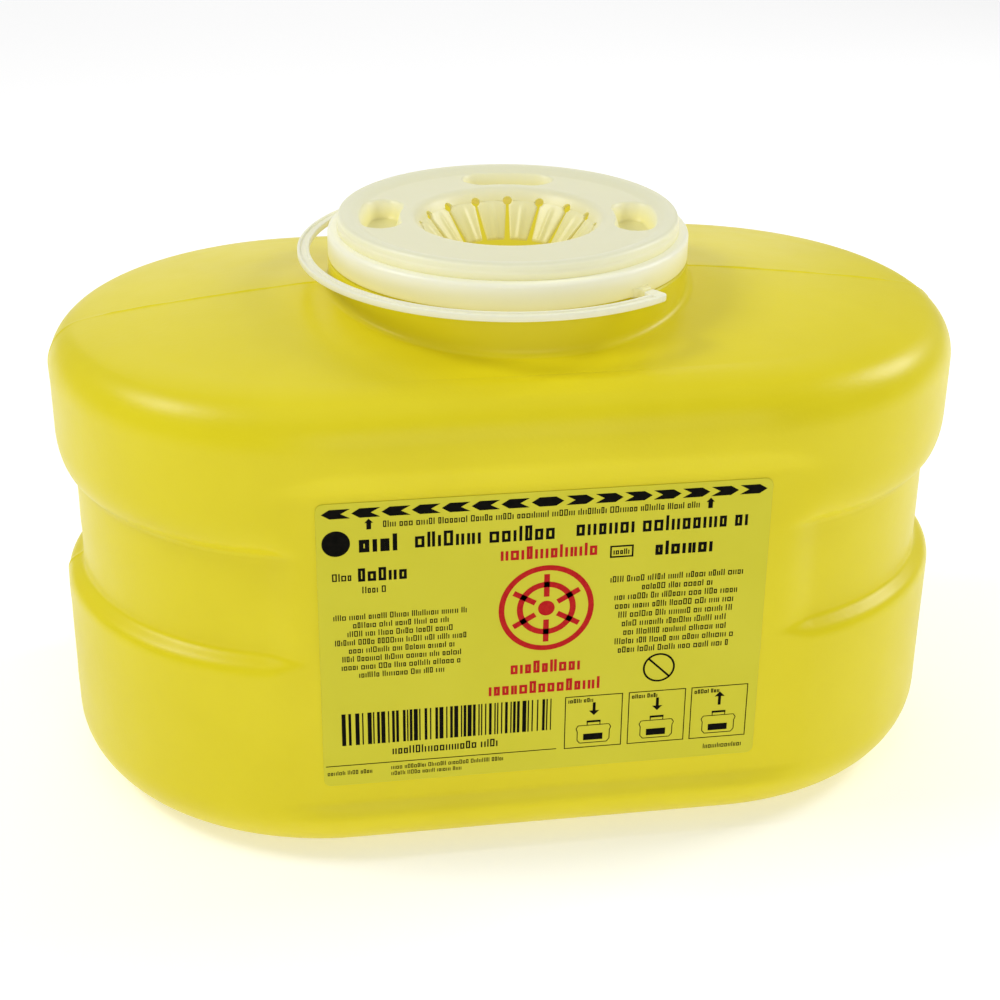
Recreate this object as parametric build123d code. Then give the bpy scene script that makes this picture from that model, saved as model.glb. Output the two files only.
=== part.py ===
from build123d import *
from math import atan2, cos, degrees, hypot, radians, sin, tan
import os

# A sharps container: a blow-moulded yellow bottle, a snap-on cap with a fingered funnel,
# a swinging carry handle and a front label. Millimetres, +Z up, the origin at the middle of
# the base, +X along the length, and the labelled side towards -Y.

# Bottle: a stadium in plan, with the same profile all round
LENGTH = 254.0
DEPTH = 150.0
WALL = 2.0
END_R = DEPTH / 2
HALF_STRAIGHT = LENGTH / 2 - END_R

# Base: a flat rest ring round a pushed-up middle
BASE_ROUND = 17.0
PUSH_UP = 3.0
PUSH_UP_R = 40.0
REST_RING_R = 46.0

# Waist: a shallow grip groove all round
WAIST_INSET = 4.7
WAIST_LOW_Z = 57.0
WAIST_FLOOR_Z = 61.2
WAIST_CEILING_Z = 92.1
WAIST_TOP_Z = 104.0

# Shoulder: a round corner on top of the upright wall, then one cubic curve to the level crown
SHOULDER_Z = 120.0
SHOULDER_R = 12.5
SHOULDER_TURN = 68.0
CROWN_Z = 140.4
CROWN_LEAD = 8.0
CROWN_LEVEL = 5.0

# Flat panels on the two long faces, one of which carries the label
PANEL_Y = 72.4
PANEL_FLAT_HALF = 64.0
PANEL_HALF = 72.0
PANEL_LOW_Z = 18.0
PANEL_HIGH_Z = 107.8
PANEL_EASE_LOW = 4.0
PANEL_EASE_HIGH = 9.0
PANEL_SIDE_Y = END_R - 2 * WAIST_INSET

# Neck: a plinth that the cap lands on, and a spout with a snap bead
PLINTH_R = 49.7
PLINTH_TOP_Z = 146.9
NECK_R = 46.4
NECK_BORE_R = 44.4
NECK_TOP_Z = 152.0
NECK_BORE_LOW_Z = 123.0
BEAD_R = 47.2
BEAD_Z = 149.9
BEAD_HALF = 0.9

# Cap collar
SKIRT_R = 49.7
SKIRT_BORE_R = 47.6
SKIRT_EDGE_R = 1.1
COLLAR_TOP_Z = 154.3
COLLAR_PLATE = 2.1
COLLAR_MOUTH_R = 44.0

# Funnel disc: a sunken face inside a raised rim, over a slightly wider foot
DISC_R = 46.75
DISC_TOP_Z = 158.6
DISC_FACE_Z = 157.2
DISC_PLATE = 1.6
DISC_RIM = 2.6
DISC_EDGE_R = 0.9
DISC_FOOT_R = 47.1
DISC_FOOT_W = 1.9
DISC_FOOT_Z = 156.4
LIP_ROOT = 2.0
SPIGOT_R = 43.8
SPIGOT_WALL = 1.5
SPIGOT_LOW_Z = 149.4

# Finger pockets in the funnel disc, which sits turned a little about the cap's axis
DISC_TURN = -9.0
POCKET_ANGLES = (0, 90, 180)
POCKET_MID_R = 35.3
POCKET_RADIAL = 10.4
POCKET_ARC = 41.0
POCKET_DEPTH = 5.0
POCKET_WALL = 1.2

# Funnel petals
PETALS = 16
PITCH = 360 / PETALS
HINGE_R = 24.0
HINGE_Z = 153.7
TIP_R = 16.5
TIP_Z = 144.8
PETAL_T = 1.2
HINGE_GAP = 0.35
KEYHOLE_R = 1.4
SLIT_TOP = 0.8
SLIT_TIP = 1.7
FOLD_W = 1.5
FOLD_H = 0.35
PETAL_RUN = hypot(HINGE_R - TIP_R, HINGE_Z - TIP_Z)
PETAL_SLOPE = degrees(atan2(HINGE_Z - TIP_Z, HINGE_R - TIP_R))

# Carry handle: half a ring, hinged on two lugs of the collar
HANDLE_R = 56.4
HANDLE_W = 3.3
HANDLE_Z = 148.1
HANDLE_T = 1.8
RAIL_W = 0.7
RAIL_H = 0.3
HANDLE_ANGLE = -55.3
LUG_W = 3.6
LUG_T = 2.4
LUG_R = 52.2
LUG_ROOT_R = 48.6
HINGE_FACE_R = 52.5
PIN_R = 0.5
PIN_BORE_R = 0.55
PIN_LENGTH = 1.8
PIN_END_GAP = 0.3
BOSS_CORNER_R = 1.5

# Label
LABEL_W = 118.0
LABEL_H = 83.6
LABEL_X = -1.0
LABEL_LOW_Z = 23.6
LABEL_T = 0.2
LABEL_CORNER_R = 2.0

# How far pieces of one solid run into each other, and cutters run past what they cut
OVERLAP = 1.0


def ring(outer_r, inner_r, low_z, high_z):
    """A plain tube round the Z axis."""
    tube = Cylinder(outer_r, high_z - low_z) - Cylinder(inner_r, high_z - low_z)
    return Pos(0, 0, (low_z + high_z) / 2) * tube


def turned(points):
    """A closed outline of (radius, height) points, turned round the Z axis."""
    outline = make_face(Polyline(*points, close=True))
    return revolve(Plane.XZ * outline, axis=Axis.Z)


def half_section(inset):
    """The bottle's profile from its axis out to the wall, moved in by inset."""
    r = END_R - inset
    corner = BASE_ROUND - inset
    centre_r = END_R - BASE_ROUND
    top = CROWN_Z - inset
    base = Polyline(
        (0, PUSH_UP + inset), (PUSH_UP_R, PUSH_UP + inset), (REST_RING_R, inset), (centre_r, inset)
    )
    round_edge = CenterArc((centre_r, BASE_ROUND), corner, -90, 90)
    wall = Polyline(
        (r, BASE_ROUND),
        (r, WAIST_LOW_Z),
        (r - WAIST_INSET, WAIST_FLOOR_Z),
        (r - WAIST_INSET, WAIST_CEILING_Z),
        (r, WAIST_TOP_Z),
        (r, SHOULDER_Z),
    )
    shoulder = CenterArc((END_R - SHOULDER_R, SHOULDER_Z), SHOULDER_R - inset, 0, SHOULDER_TURN)
    rise = shoulder @ 1
    crown = Bezier(rise, rise + CROWN_LEAD * (shoulder % 1), (CROWN_LEVEL, top), (0, top))
    axis = Line((0, top), (0, PUSH_UP + inset))
    return make_face(Plane.XZ * (base + round_edge + wall + shoulder + crown + axis))


def stadium_solid(inset):
    """The bottle's form without neck or panels: two turned ends and a straight middle."""
    section = half_section(inset)
    end = Rot(0, 0, -90) * revolve(section, axis=Axis.Z, revolution_arc=180)
    middle = Pos(HALF_STRAIGHT, 0, 0) * extrude(Rot(0, 0, -90) * section, 2 * HALF_STRAIGHT, dir=(-1, 0, 0))
    solid = Pos(HALF_STRAIGHT, 0, 0) * end + middle
    solid += mirror(middle, Plane.XZ)
    return solid + Pos(-HALF_STRAIGHT, 0, 0) * mirror(end, Plane.YZ)


def panel_cutter(inset):
    """What is pared off the -Y face to leave the flat panel, with eased ends."""
    y = -PANEL_Y + inset
    far = -END_R - OVERLAP
    reach = (END_R - PANEL_Y + OVERLAP) / (END_R - PANEL_Y)
    outline = Polyline(
        (far, PANEL_LOW_Z - PANEL_EASE_LOW * reach),
        (y, PANEL_LOW_Z + inset / 2),
        (y, PANEL_HIGH_Z - inset / 2),
        (far, PANEL_HIGH_Z + PANEL_EASE_HIGH * reach),
        close=True,
    )
    return extrude(Plane.YZ * make_face(outline), LENGTH / 2, both=True)


def panel_filler(inset):
    """The block that carries the panel across the waist groove."""
    back = -PANEL_SIDE_Y + WAIST_INSET / 2
    outline = Polyline(
        (-PANEL_HALF, back),
        (-PANEL_HALF, -PANEL_SIDE_Y),
        (-PANEL_FLAT_HALF, -PANEL_Y + inset),
        (PANEL_FLAT_HALF, -PANEL_Y + inset),
        (PANEL_HALF, -PANEL_SIDE_Y),
        (PANEL_HALF, back),
        close=True,
    )
    filler = extrude(make_face(outline), WAIST_TOP_Z - WAIST_LOW_Z + 2 * OVERLAP)
    return Pos(0, 0, WAIST_LOW_Z - OVERLAP) * filler


def bottle_form(inset):
    """The bottle's form with both panels, moved in by inset."""
    solid = stadium_solid(inset)
    for turn in (0, 180):
        solid += Rot(0, 0, turn) * panel_filler(inset)
        solid -= Rot(0, 0, turn) * panel_cutter(inset)
    return solid


def container_body():
    """The hollow bottle with its plinth, spout and snap bead."""
    root_z = (SHOULDER_Z + CROWN_Z) / 2
    plinth = Pos(0, 0, (root_z + PLINTH_TOP_Z) / 2) * Cylinder(PLINTH_R, PLINTH_TOP_Z - root_z)
    spout = ring(NECK_R, NECK_BORE_R, PLINTH_TOP_Z - OVERLAP, NECK_TOP_Z)
    bead = turned(
        [
            (NECK_R - OVERLAP, BEAD_Z - BEAD_HALF),
            (NECK_R, BEAD_Z - BEAD_HALF),
            (BEAD_R, BEAD_Z),
            (NECK_R, BEAD_Z + BEAD_HALF),
            (NECK_R - OVERLAP, BEAD_Z + BEAD_HALF),
        ]
    )
    bore_run = NECK_TOP_Z + OVERLAP - NECK_BORE_LOW_Z
    bore = Pos(0, 0, NECK_BORE_LOW_Z + bore_run / 2) * Cylinder(NECK_BORE_R, bore_run)
    return bottle_form(0) + plinth + spout + bead - bottle_form(WALL) - bore


def hinge_lug():
    """One collar lug on the +X side, bored for the handle's pin."""
    run = LUG_R - LUG_ROOT_R
    lug = Pos(LUG_ROOT_R + run / 2, 0, HANDLE_Z) * Box(run, LUG_W, LUG_T)
    bore_run = PIN_LENGTH + PIN_END_GAP
    bore = Pos(HINGE_FACE_R - bore_run / 2, 0, HANDLE_Z) * Rot(0, 90, 0) * Cylinder(PIN_BORE_R, bore_run)
    return lug - bore


def cap_collar():
    """The snap-on collar: skirt, top ledge and the two handle lugs."""
    skirt = ring(SKIRT_R, SKIRT_BORE_R, PLINTH_TOP_Z, COLLAR_TOP_Z - COLLAR_PLATE)
    plate = ring(SKIRT_R, COLLAR_MOUTH_R, COLLAR_TOP_Z - COLLAR_PLATE, COLLAR_TOP_Z)
    collar = skirt + plate
    outer_edge = collar.edges().filter_by(GeomType.CIRCLE).group_by(Axis.Z)[-1].sort_by(SortBy.RADIUS)[-1]
    collar = fillet(outer_edge, SKIRT_EDGE_R)
    for turn in (0, 180):
        collar += Rot(0, 0, HANDLE_ANGLE + turn) * hinge_lug()
    return collar


def pocket_outline(grow):
    """A kidney-shaped pocket outline on the +X side, grown by grow."""
    half = POCKET_ARC / 2 - degrees(POCKET_RADIAL / 2 / POCKET_MID_R)
    path = CenterArc((0, 0), POCKET_MID_R, -half, 2 * half)
    return make_face(offset(path, POCKET_RADIAL / 2 + grow, side=Side.BOTH).edges())


def slope_point(along, normal):
    """(radius, height) at a distance down the petals' slope and off its middle surface."""
    slope = radians(PETAL_SLOPE)
    r = HINGE_R - along * cos(slope) - normal * sin(slope)
    z = HINGE_Z - along * sin(slope) + normal * cos(slope)
    return (r, z)


def funnel_lip():
    """The sloping lip of the funnel, from the disc's face down to the petals' hinges."""
    end = -PETAL_T / 2 - HINGE_GAP
    slope = radians(PETAL_SLOPE)
    over = PETAL_T / 2
    to_face = (DISC_FACE_Z - slope_point(0, over)[1]) / sin(slope)
    to_plate = (DISC_FACE_Z - DISC_PLATE / 2 - slope_point(0, -over)[1]) / sin(slope)
    return turned(
        [
            slope_point(end, over),
            slope_point(-to_face, over),
            (slope_point(-to_face, over)[0] + LIP_ROOT, DISC_FACE_Z),
            slope_point(-to_plate, -over),
            slope_point(end, -over),
        ]
    )


def keyhole_cutter():
    """A pin square to the petals' slope at the hinge circle, on the +X side."""
    return Pos(HINGE_R, 0, HINGE_Z) * Rot(0, PETAL_SLOPE - 90, 0) * Cylinder(KEYHOLE_R, 6 * PETAL_T)


def funnel_disc():
    """The cap's top: rimmed and footed disc, locating spigot, finger pockets and the funnel's lip."""
    lip_r = slope_point(0, PETAL_T / 2)[0] + LIP_ROOT
    plate_low_z = DISC_FACE_Z - DISC_PLATE
    disc = ring(DISC_R, lip_r, plate_low_z, DISC_FACE_Z)
    disc += ring(DISC_R, DISC_R - DISC_RIM, plate_low_z, DISC_TOP_Z)
    outer_edge = disc.edges().filter_by(GeomType.CIRCLE).group_by(Axis.Z)[-1].sort_by(SortBy.RADIUS)[-1]
    disc = fillet(outer_edge, DISC_EDGE_R)
    disc += ring(DISC_FOOT_R, DISC_FOOT_R - DISC_FOOT_W, COLLAR_TOP_Z, DISC_FOOT_Z)
    disc += ring(SPIGOT_R, SPIGOT_R - SPIGOT_WALL, SPIGOT_LOW_Z, plate_low_z + OVERLAP)
    cup = extrude(pocket_outline(POCKET_WALL), POCKET_DEPTH + POCKET_WALL - DISC_PLATE / 2)
    well = extrude(pocket_outline(0), POCKET_DEPTH + OVERLAP)
    for angle in POCKET_ANGLES:
        disc += Rot(0, 0, angle) * Pos(0, 0, DISC_FACE_Z - POCKET_DEPTH - POCKET_WALL) * cup
        disc -= Rot(0, 0, angle) * Pos(0, 0, DISC_FACE_Z - POCKET_DEPTH) * well
    disc += funnel_lip()
    for index in range(PETALS):
        disc -= Rot(0, 0, index * PITCH) * keyhole_cutter()
    return Rot(0, 0, DISC_TURN) * disc


def petal_plane():
    """Hinge plane on the +X side: X along the hinge, Y down the slope, Z off the face."""
    slope = radians(PETAL_SLOPE)
    return Plane((HINGE_R, 0, HINGE_Z), x_dir=(0, 1, 0), z_dir=(-sin(slope), 0, cos(slope)))


def petal():
    """One funnel finger on the +X side: a tapered leaf with a rolled root and a centre fold."""
    pitch_half = HINGE_R * tan(radians(PITCH / 2))
    root_half = pitch_half - SLIT_TOP / 2
    tip_half = TIP_R * tan(radians(PITCH / 2)) - SLIT_TIP / 2
    leaf = make_face(
        Polyline((-root_half, 0), (root_half, 0), (tip_half, PETAL_RUN), (-tip_half, PETAL_RUN), close=True)
    )
    for side in (-1, 1):
        leaf -= Pos(side * pitch_half, 0) * Circle(KEYHOLE_R)
    solid = extrude(leaf, PETAL_T / 2, both=True)
    root_length = 2 * (pitch_half - KEYHOLE_R)
    solid += Rot(0, 90, 0) * Cylinder(PETAL_T / 2, root_length)
    fold = make_face(Polyline((-FOLD_W / 2, 0), (FOLD_W / 2, 0), (0, FOLD_H), close=True))
    ridge = extrude(Plane.XZ * fold, PETAL_RUN - 2 * PETAL_T, dir=(0, 1, 0))
    solid += Pos(0, PETAL_T, PETAL_T / 2) * ridge
    return petal_plane() * solid


def carry_handle():
    """Half a ring of flat strip with edge rails, a boss and a pin at each end."""
    half_w = HANDLE_W / 2
    low = -HANDLE_T / 2
    high = HANDLE_T / 2
    strip = Polyline(
        (HANDLE_R - half_w, low),
        (HANDLE_R + half_w, low),
        (HANDLE_R + half_w, high),
        (HANDLE_R + half_w - RAIL_W, high),
        (HANDLE_R + half_w - RAIL_W, high - RAIL_H),
        (HANDLE_R - half_w + RAIL_W, high - RAIL_H),
        (HANDLE_R - half_w + RAIL_W, high),
        (HANDLE_R - half_w, high),
        close=True,
    )
    handle = revolve(Plane.XZ * make_face(strip), axis=Axis.Z, revolution_arc=-180)
    boss_run = HANDLE_R + half_w - HINGE_FACE_R
    boss = Pos(HINGE_FACE_R + boss_run / 2, 0, 0) * Box(boss_run, LUG_W, HANDLE_T)
    boss = fillet(boss.edges().filter_by(Axis.Z).group_by(Axis.X)[-1], BOSS_CORNER_R)
    boss += Pos(HINGE_FACE_R - PIN_LENGTH / 2, 0, 0) * Rot(0, 90, 0) * Cylinder(PIN_R, PIN_LENGTH)
    for turn in (0, 180):
        handle += Rot(0, 0, turn) * boss
    return Pos(0, 0, HANDLE_Z) * Rot(0, 0, HANDLE_ANGLE) * handle


def front_label():
    """The thin label stuck on the front panel."""
    film = extrude(RectangleRounded(LABEL_W, LABEL_H, LABEL_CORNER_R), LABEL_T)
    return Pos(LABEL_X, -PANEL_Y, LABEL_LOW_Z + LABEL_H / 2) * Rot(90, 0, 0) * film


os.makedirs("parts", exist_ok=True)
export_step(container_body(), "parts/container_body.step")
export_step(cap_collar(), "parts/cap_collar.step")
export_step(funnel_disc(), "parts/funnel_disc.step")
for number in range(PETALS):
    placed = Rot(0, 0, DISC_TURN + (number + 0.5) * PITCH) * petal()
    export_step(placed, f"parts/petal_{number + 1:02d}.step")
export_step(carry_handle(), "parts/carry_handle.step")
export_step(front_label(), "parts/front_label.step")
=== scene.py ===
from math import cos, hypot, pi, radians, sin, tan

import bmesh
import bpy
import numpy as np
from mathutils import Matrix, Vector


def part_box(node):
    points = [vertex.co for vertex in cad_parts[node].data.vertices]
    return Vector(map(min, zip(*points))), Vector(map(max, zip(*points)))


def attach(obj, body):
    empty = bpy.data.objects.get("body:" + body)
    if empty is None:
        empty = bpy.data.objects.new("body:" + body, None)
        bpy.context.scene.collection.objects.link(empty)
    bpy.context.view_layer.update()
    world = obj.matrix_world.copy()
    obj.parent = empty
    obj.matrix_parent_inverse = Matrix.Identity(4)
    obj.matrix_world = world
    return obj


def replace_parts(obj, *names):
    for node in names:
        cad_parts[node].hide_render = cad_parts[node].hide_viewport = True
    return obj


# The sharps container's looks. Lengths are in millimetres until a mesh is made, then metres.
MM = 0.001

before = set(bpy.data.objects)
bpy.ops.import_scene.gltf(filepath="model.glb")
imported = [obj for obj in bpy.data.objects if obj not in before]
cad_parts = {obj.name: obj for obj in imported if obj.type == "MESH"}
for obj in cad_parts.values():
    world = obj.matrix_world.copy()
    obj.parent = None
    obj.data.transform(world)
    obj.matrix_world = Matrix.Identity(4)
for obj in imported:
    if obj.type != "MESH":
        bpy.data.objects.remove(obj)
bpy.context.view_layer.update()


def node_box(node):
    """Lowest and highest corner of a CAD node, in millimetres."""
    low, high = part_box(node)
    return np.array(low) / MM, np.array(high) / MM


# ---------------------------------------------------------------- sizes
BODY_HIGH = node_box("container_body")[1]
COLLAR_LOW, COLLAR_HIGH = node_box("cap_collar")
DISC_LOW, DISC_HIGH = node_box("funnel_disc")
LABEL_LOW, LABEL_HIGH = node_box("front_label")
HANDLE_LOW, HANDLE_HIGH = node_box("carry_handle")

# Bottle
END_R = BODY_HIGH[1]
HALF_STRAIGHT = BODY_HIGH[0] - END_R
WALL = 2.0
BASE_ROUND = 17.0
PUSH_UP = 3.0
PUSH_UP_R = 40.0
REST_RING_R = 46.0
WAIST_INSET = 4.7
WAIST_LOW_Z = 57.0
WAIST_FLOOR_Z = 61.4
WAIST_CEILING_Z = 92.1
WAIST_TOP_Z = 103.6
WAIST_SOFTNESS = 0.75
SHOULDER_Z = 120.0
SHOULDER_R = 12.5
SHOULDER_TURN = radians(68)
CROWN_Z = 140.4
CROWN_LEAD = 8.0
CROWN_LEVEL = 5.0
SHOULDER_NEAR_R = 57.0
PANEL_Y = -LABEL_HIGH[1]
PANEL_LOW_Z = 18.0
PANEL_HIGH_Z = 107.8
PANEL_EASE_LOW = 5.0
PANEL_EASE_HIGH = 13.0
PANEL_FLAT_HALF = 61.0
PANEL_HALF = 74.0
SEAM_HEIGHT = 0.34
SEAM_WIDTH = 0.55
WAVINESS = 0.10

# Plinth and neck
PLINTH_R = COLLAR_HIGH[0]
PLINTH_TOP_Z = COLLAR_LOW[2]
PLINTH_FILLET = 2.4
NECK_R = 46.4
NECK_BORE_R = 44.4
NECK_TOP_Z = BODY_HIGH[2]
BEAD_R = 47.2
BEAD_Z = 149.9
BEAD_HALF_H = 0.9

# Cap
SKIRT_R = COLLAR_HIGH[0]
SKIRT_BORE_R = 47.6
COLLAR_TOP_Z = COLLAR_HIGH[2]
COLLAR_PLATE = 2.1
COLLAR_MOUTH_R = 44.0
DISC_FOOT_R = DISC_HIGH[0]
DISC_R = DISC_FOOT_R - 0.35
DISC_TOP_Z = DISC_HIGH[2]
DISC_FACE_Z = 157.2
DISC_FOOT_Z = 156.4
DISC_FOOT_W = 1.9
DISC_PLATE = 1.6
DISC_RIM_IN = 45.0
DISC_FACE_R = 40.2
SPIGOT_R = 43.8
SPIGOT_WALL = 1.5
DISC_TURN = radians(-9)
POCKET_ANGLES = tuple(DISC_TURN + quarter * pi / 2 for quarter in range(3))
POCKET_MID_R = 35.3
POCKET_RADIAL = 10.4
POCKET_ARC = radians(41)
POCKET_DEPTH = 5.0
POCKET_WALL = 1.2

# Funnel
PETALS = 16
PITCH = 2 * pi / PETALS
HINGE_R = 24.0
HINGE_Z = 153.7
TIP_R = 16.5
TIP_Z = 144.8
PETAL_T = 1.2
KEYHOLE_R = 1.4
SLIT_TOP = 0.8
SLIT_TIP = 1.7
FOLD_H = 0.35
SLOPE_RUN = hypot(HINGE_R - TIP_R, HINGE_Z - TIP_Z)
SLOPE_IN = (HINGE_R - TIP_R) / SLOPE_RUN
SLOPE_DOWN = (HINGE_Z - TIP_Z) / SLOPE_RUN
LIP_END = 0.06

# Handle
HANDLE_R = 56.4
HANDLE_W = 3.3
HANDLE_T = HANDLE_HIGH[2] - HANDLE_LOW[2]
HANDLE_Z = (HANDLE_HIGH[2] + HANDLE_LOW[2]) / 2
HANDLE_ANGLE = radians(-55.3)
RAIL_W = 0.75
RAIL_H = 0.5
LUG_W = 3.6
LUG_T = 2.4
LUG_R = 52.2
LUG_ROOT_R = 49.0
LUG_FLARE = 1.6
BOSS_CORNER = 1.6
HINGE_FACE_R = 52.5
PIN_R = 0.5
PIN_LENGTH = 1.8
PIN_CHAMFER = 0.2
PIN_ROOT = 0.4

# Label
LABEL_W = LABEL_HIGH[0] - LABEL_LOW[0]
LABEL_H = LABEL_HIGH[2] - LABEL_LOW[2]
LABEL_FACE_Y = LABEL_LOW[1]
LABEL_X = (LABEL_LOW[0] + LABEL_HIGH[0]) / 2
LABEL_CORNER = 2.0
INK_LIFT = 0.03
ARROWS_PER_SIDE = 7
ARROW_GAP = 0.3
DOUBLE_ARROW_HALF = 4.2
FRAME_LEFTS = (5.9, 23.3, 40.6)
FRAME_LOW = 5.9
FRAME_HIGH = 22.3
FRAME_W = 15.8
EMBLEM_RINGS = ((12.6, 11.1), (7.8, 6.2))
EMBLEM_HUB_R = 2.2
SPOKES = 6
SPOKE_IN_R = 3.4
SPOKE_OUT_R = 10.0
SPOKE_W = 1.5

# Camera, with its angles in degrees, and floor (in metres)
CAMERA_AZIMUTH = -9.40
CAMERA_ELEVATION = 25.71
CAMERA_ROLL = 0.64
CAMERA_DISTANCE = 559.3
CAMERA_TARGET = (-1.33, 0.0, 70.12)
CAMERA_LENS = 68.25
FLOOR_REACH = 6.0


# ---------------------------------------------------------------- mesh helpers
def make_object(name, points, faces, material, body, smooth=True):
    """A mesh object from points in millimetres, riding on a body."""
    mesh = bpy.data.meshes.new(name)
    mesh.from_pydata([tuple(p) for p in np.asarray(points) * MM], [], faces)
    mesh.validate()
    mesh.update()
    mesh.materials.append(material)
    if smooth:
        mesh.shade_smooth()
    obj = bpy.data.objects.new(name, mesh)
    bpy.context.scene.collection.objects.link(obj)
    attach(obj, body)
    return obj


def ring_faces(rows, columns, closed_rows=False, closed_columns=True):
    """Quads between neighbouring rows of a grid of points."""
    faces = []
    row_count = rows if closed_rows else rows - 1
    column_count = columns if closed_columns else columns - 1
    for i in range(row_count):
        a = i * columns
        b = ((i + 1) % rows) * columns
        for j in range(column_count):
            k = (j + 1) % columns
            faces.append((a + j, a + k, b + k, b + j))
    return faces


def capped_faces(rows, columns):
    """Quads between neighbouring rows, with a face across each end."""
    first = list(range(columns))[::-1]
    last = list(range((rows - 1) * columns, rows * columns))
    return ring_faces(rows, columns) + [first, last]


def turned(x, y, z, angle):
    """Points turned about the Z axis."""
    return np.stack([x * cos(angle) - y * sin(angle), x * sin(angle) + y * cos(angle), z], 1)


def rounded(corners, segments=4):
    """(radius, height) points of an outline whose corners (r, z, fillet) are rounded."""
    points = []
    count = len(corners)
    for i, (r, z, fillet) in enumerate(corners):
        here = np.array((r, z), float)
        before = np.array(corners[i - 1][:2], float) - here
        after = np.array(corners[(i + 1) % count][:2], float) - here
        if fillet <= 0:
            points.append(tuple(here))
            continue
        before /= np.linalg.norm(before)
        after /= np.linalg.norm(after)
        half = 0.5 * np.arccos(np.clip(before @ after, -1, 1))
        reach = fillet / tan(half)
        centre = here + (before + after) / np.linalg.norm(before + after) * fillet / sin(half)
        start = here + before * reach - centre
        end = here + after * reach - centre
        turn = np.arctan2(start[0] * end[1] - start[1] * end[0], start @ end)
        for step in range(segments + 1):
            angle = turn * step / segments
            x = centre[0] + start[0] * cos(angle) - start[1] * sin(angle)
            y = centre[1] + start[0] * sin(angle) + start[1] * cos(angle)
            points.append((x, y))
    return points


def lathe(name, outline, material, body, columns=256):
    """A closed outline of (radius, height) points, turned round the Z axis."""
    angles = np.linspace(0, 2 * pi, columns, endpoint=False)
    rows = [np.stack([r * np.cos(angles), r * np.sin(angles), np.full(columns, z)], 1) for r, z in outline]
    faces = ring_faces(len(rows), columns, closed_rows=True)
    return make_object(name, np.concatenate(rows), faces, material, body)


def smoothstep(low, high, value):
    """0 below low, 1 above high, eased between."""
    t = np.clip((value - low) / (high - low), 0, 1)
    return t * t * (3 - 2 * t)


def soft_min(a, b, softness):
    """The lesser of two values, with a rounded hand-over."""
    return (a + b - np.sqrt((a - b) ** 2 + softness**2)) / 2


def face_outwards(obj):
    """Turn an object's faces so that their normals point out."""
    shell = bmesh.new()
    shell.from_mesh(obj.data)
    bmesh.ops.remove_doubles(shell, verts=shell.verts, dist=1e-7)
    bmesh.ops.recalc_face_normals(shell, faces=shell.faces)
    shell.to_mesh(obj.data)
    shell.free()
    return obj


# ---------------------------------------------------------------- materials
def new_material(name):
    """A new node material: the material, its node tree and its Principled shader."""
    material = bpy.data.materials.new(name)
    material.use_nodes = True
    tree = material.node_tree
    shader = tree.nodes["Principled BSDF"]
    return material, tree, shader


def add(tree, kind, **settings):
    """A new node with these properties set."""
    node = tree.nodes.new(kind)
    for key, value in settings.items():
        setattr(node, key, value)
    return node


def set_inputs(node, values):
    """Constants on a node's input sockets, by the sockets' names."""
    for name, value in values.items():
        node.inputs[name].default_value = value


def noise(tree, scale, detail=2.0):
    """Noise over the object's own coordinates, with scale in features per metre."""
    place = add(tree, "ShaderNodeTexCoord")
    node = add(tree, "ShaderNodeTexNoise")
    set_inputs(node, {"Scale": scale, "Detail": detail, "Roughness": 0.5})
    tree.links.new(place.outputs["Object"], node.inputs["Vector"])
    return node.outputs["Fac"]


def ramp(tree, value, stops):
    """A colour ramp through (position, colour) stops."""
    node = add(tree, "ShaderNodeValToRGB")
    elements = node.color_ramp.elements
    while len(elements) > len(stops):
        elements.remove(elements[-1])
    while len(elements) < len(stops):
        elements.new(1.0)
    for element, (position, colour) in zip(elements, stops):
        element.position = position
        element.color = (*colour, 1.0)
    tree.links.new(value, node.inputs["Fac"])
    return node.outputs["Color"]


def map_range(tree, value, **ends):
    """A value mapped from one range to another; each range is 0 to 1 unless its ends are given."""
    node = add(tree, "ShaderNodeMapRange")
    set_inputs(node, {key.replace("_", " ").title(): end for key, end in ends.items()})
    tree.links.new(value, node.inputs["Value"])
    return node.outputs["Result"]


def scaled(tree, value, low, high):
    """A 0 to 1 value mapped to low to high."""
    return map_range(tree, value, to_min=low, to_max=high)


def between(tree, value, low, high):
    """A value's place between low and high, as 0 to 1."""
    return map_range(tree, value, from_min=low, from_max=high)


def mix_colour(tree, share, first, second, blend="MIX"):
    """Two colours mixed by a share, each a socket or an (r, g, b)."""
    node = add(tree, "ShaderNodeMix", data_type="RGBA", blend_type=blend)
    for socket, value in ((0, share), (6, first), (7, second)):
        if isinstance(value, bpy.types.NodeSocket):
            tree.links.new(value, node.inputs[socket])
        elif socket == 0:
            node.inputs[socket].default_value = value
        else:
            node.inputs[socket].default_value = (*value, 1.0)
    return node.outputs[2]


def bumps(tree, shader, layers):
    """Stacked bump layers of (height socket, strength, distance in metres)."""
    normal = None
    for height, strength, distance in layers:
        node = add(tree, "ShaderNodeBump")
        set_inputs(node, {"Strength": strength, "Distance": distance})
        tree.links.new(height, node.inputs["Height"])
        if normal is not None:
            tree.links.new(normal, node.inputs["Normal"])
        normal = node.outputs["Normal"]
    tree.links.new(normal, shader.inputs["Normal"])


def height_of(tree):
    """The Z coordinate in the part's own frame, in metres."""
    place = add(tree, "ShaderNodeTexCoord")
    split = add(tree, "ShaderNodeSeparateXYZ")
    tree.links.new(place.outputs["Object"], split.inputs["Vector"])
    return split.outputs["Z"]


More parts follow.
